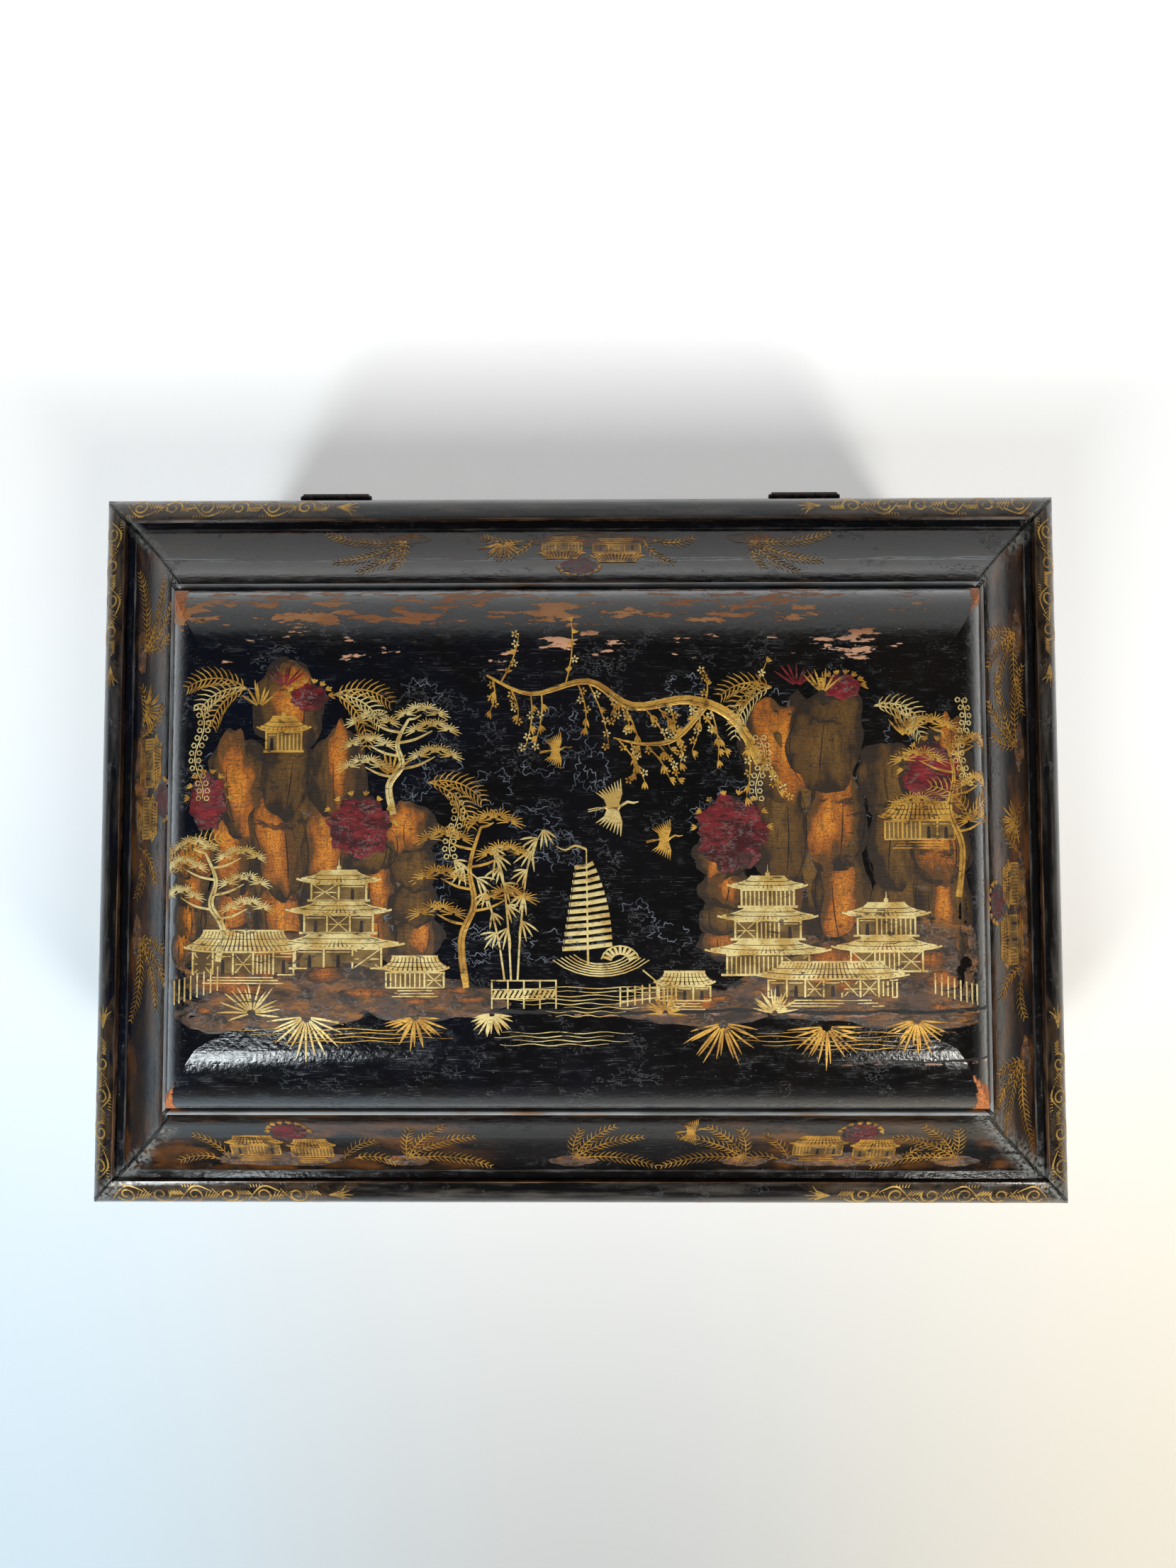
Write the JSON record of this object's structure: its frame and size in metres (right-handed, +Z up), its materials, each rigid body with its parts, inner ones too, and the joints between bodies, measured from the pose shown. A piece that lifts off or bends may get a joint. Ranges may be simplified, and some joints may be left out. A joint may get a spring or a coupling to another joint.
{
  "type": "lacquered box",
  "caption": "Black and gilt lacquered wooden box with a hinged cushion-topped lid on a coved, moulded frame, rolled iron hinges and a box lock.",
  "frame": {"origin": "centre of the box's underside, on the surface it stands on", "axes": "+X to the right along the width, +Y towards the back, where the hinges are, +Z up"},
  "size_m": [0.36, 0.268, 0.1827],
  "materials": {
    "case_lacquer": "gloss black lacquer over wood, worn",
    "base_lacquer": "gloss black lacquer over wood, rubbed at the edges",
    "lid_frame_lacquer": "gloss black lacquer with gilt scrolls and raised landscapes, cracked and rubbed",
    "lid_panel_lacquer": "gloss black lacquer with a raised gilt and bronze landscape, flaked at the edges",
    "bare_wood": "unfinished softwood",
    "iron": "dark forged iron",
    "lock_iron": "filed iron, dull",
    "brass": "gilt brass, tarnished"
  },
  "bodies": {
    "case": {"bottom_board": "bare_wood", "front_board": "case_lacquer", "back_board": "case_lacquer", "left_end_board": "case_lacquer", "right_end_board": "case_lacquer", "base_moulding_front": "base_lacquer", "base_moulding_right": "base_lacquer", "base_moulding_back": "base_lacquer", "base_moulding_left": "base_lacquer", "base_moulding_brads": "iron", "bottom_nails": "iron", "hinge_leaf_case_left": "iron", "hinge_leaf_case_right": "iron", "hinge_pin_left": "iron", "hinge_pin_right": "iron", "hinge_nails_case": "iron", "lock_plate": "lock_iron", "lock_spring": "lock_iron", "lock_key_pin": "lock_iron", "lock_guide_studs": "lock_iron", "lock_nails": "iron", "escutcheon": "brass", "escutcheon_pins": "brass"},
    "lid": {"lid_lower_rail_front": "lid_frame_lacquer", "lid_lower_rail_right": "lid_frame_lacquer", "lid_lower_rail_back": "lid_frame_lacquer", "lid_lower_rail_left": "lid_frame_lacquer", "lid_upper_rail_front": "lid_frame_lacquer", "lid_upper_rail_right": "lid_frame_lacquer", "lid_upper_rail_back": "lid_frame_lacquer", "lid_upper_rail_left": "lid_frame_lacquer", "lid_panel": "lid_panel_lacquer", "lid_glue_blocks": "bare_wood", "lid_rail_nails": "iron", "hinge_leaf_lid_left": "iron", "hinge_leaf_lid_right": "iron", "hinge_nails_lid": "iron", "link_plate": "lock_iron", "link_plate_nails": "iron"},
    "bolt": {"lock_bolt": "lock_iron"}
  },
  "joints": [
    {"name": "lid_hinge", "type": "hinge", "parent": "case", "child": "lid", "pos_m": [-0.0035, 0.13415, 0.1081], "axis": [-1, 0, 0], "range_deg": [0, 180]},
    {"name": "lock_bolt_slide", "type": "slide", "parent": "case", "child": "bolt", "axis": [1, 0, 0], "range_m": [0, 0.0055]}
  ]
}
